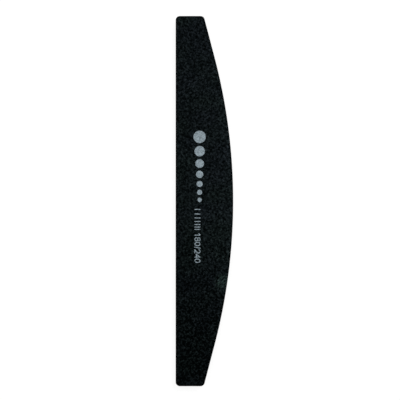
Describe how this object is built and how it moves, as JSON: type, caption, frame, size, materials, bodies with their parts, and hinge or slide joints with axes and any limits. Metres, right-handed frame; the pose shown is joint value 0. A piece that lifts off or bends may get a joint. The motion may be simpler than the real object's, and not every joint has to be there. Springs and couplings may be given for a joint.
{
  "type": "half-moon nail file",
  "caption": "Half-moon nail file: black abrasive sheets on foam, bonded to both faces of a stiff plastic core and die-cut with rolled edges.",
  "frame": {"origin": "centre of the bounding box at the back face, on the surface that the file lies on", "axes": "+Y along the length, +Z out of the front face (180 grit), +X from the straight side to the arced side"},
  "size_m": [0.0276, 0.178, 0.0041],
  "materials": {
    "front_grit": "black abrasive coat, 180 grit, in black resin",
    "back_grit": "black abrasive coat, 240 grit, in black resin",
    "backing_paper": "black dyed backing paper, matt",
    "adhesive": "clear pressure-sensitive glue film, dark between the black sheets",
    "foam": "black EVA foam, cut cells showing at the edge",
    "core_board": "natural white polystyrene board, satin"
  },
  "bodies": {
    "root": {"front_grit_coat": "front_grit", "front_backing_paper": "backing_paper", "front_sheet_adhesive": "adhesive", "front_foam": "foam", "front_core_adhesive": "adhesive", "core": "core_board", "back_core_adhesive": "adhesive", "back_foam": "foam", "back_sheet_adhesive": "adhesive", "back_backing_paper": "backing_paper", "back_grit_coat": "back_grit"}
  },
  "joints": []
}
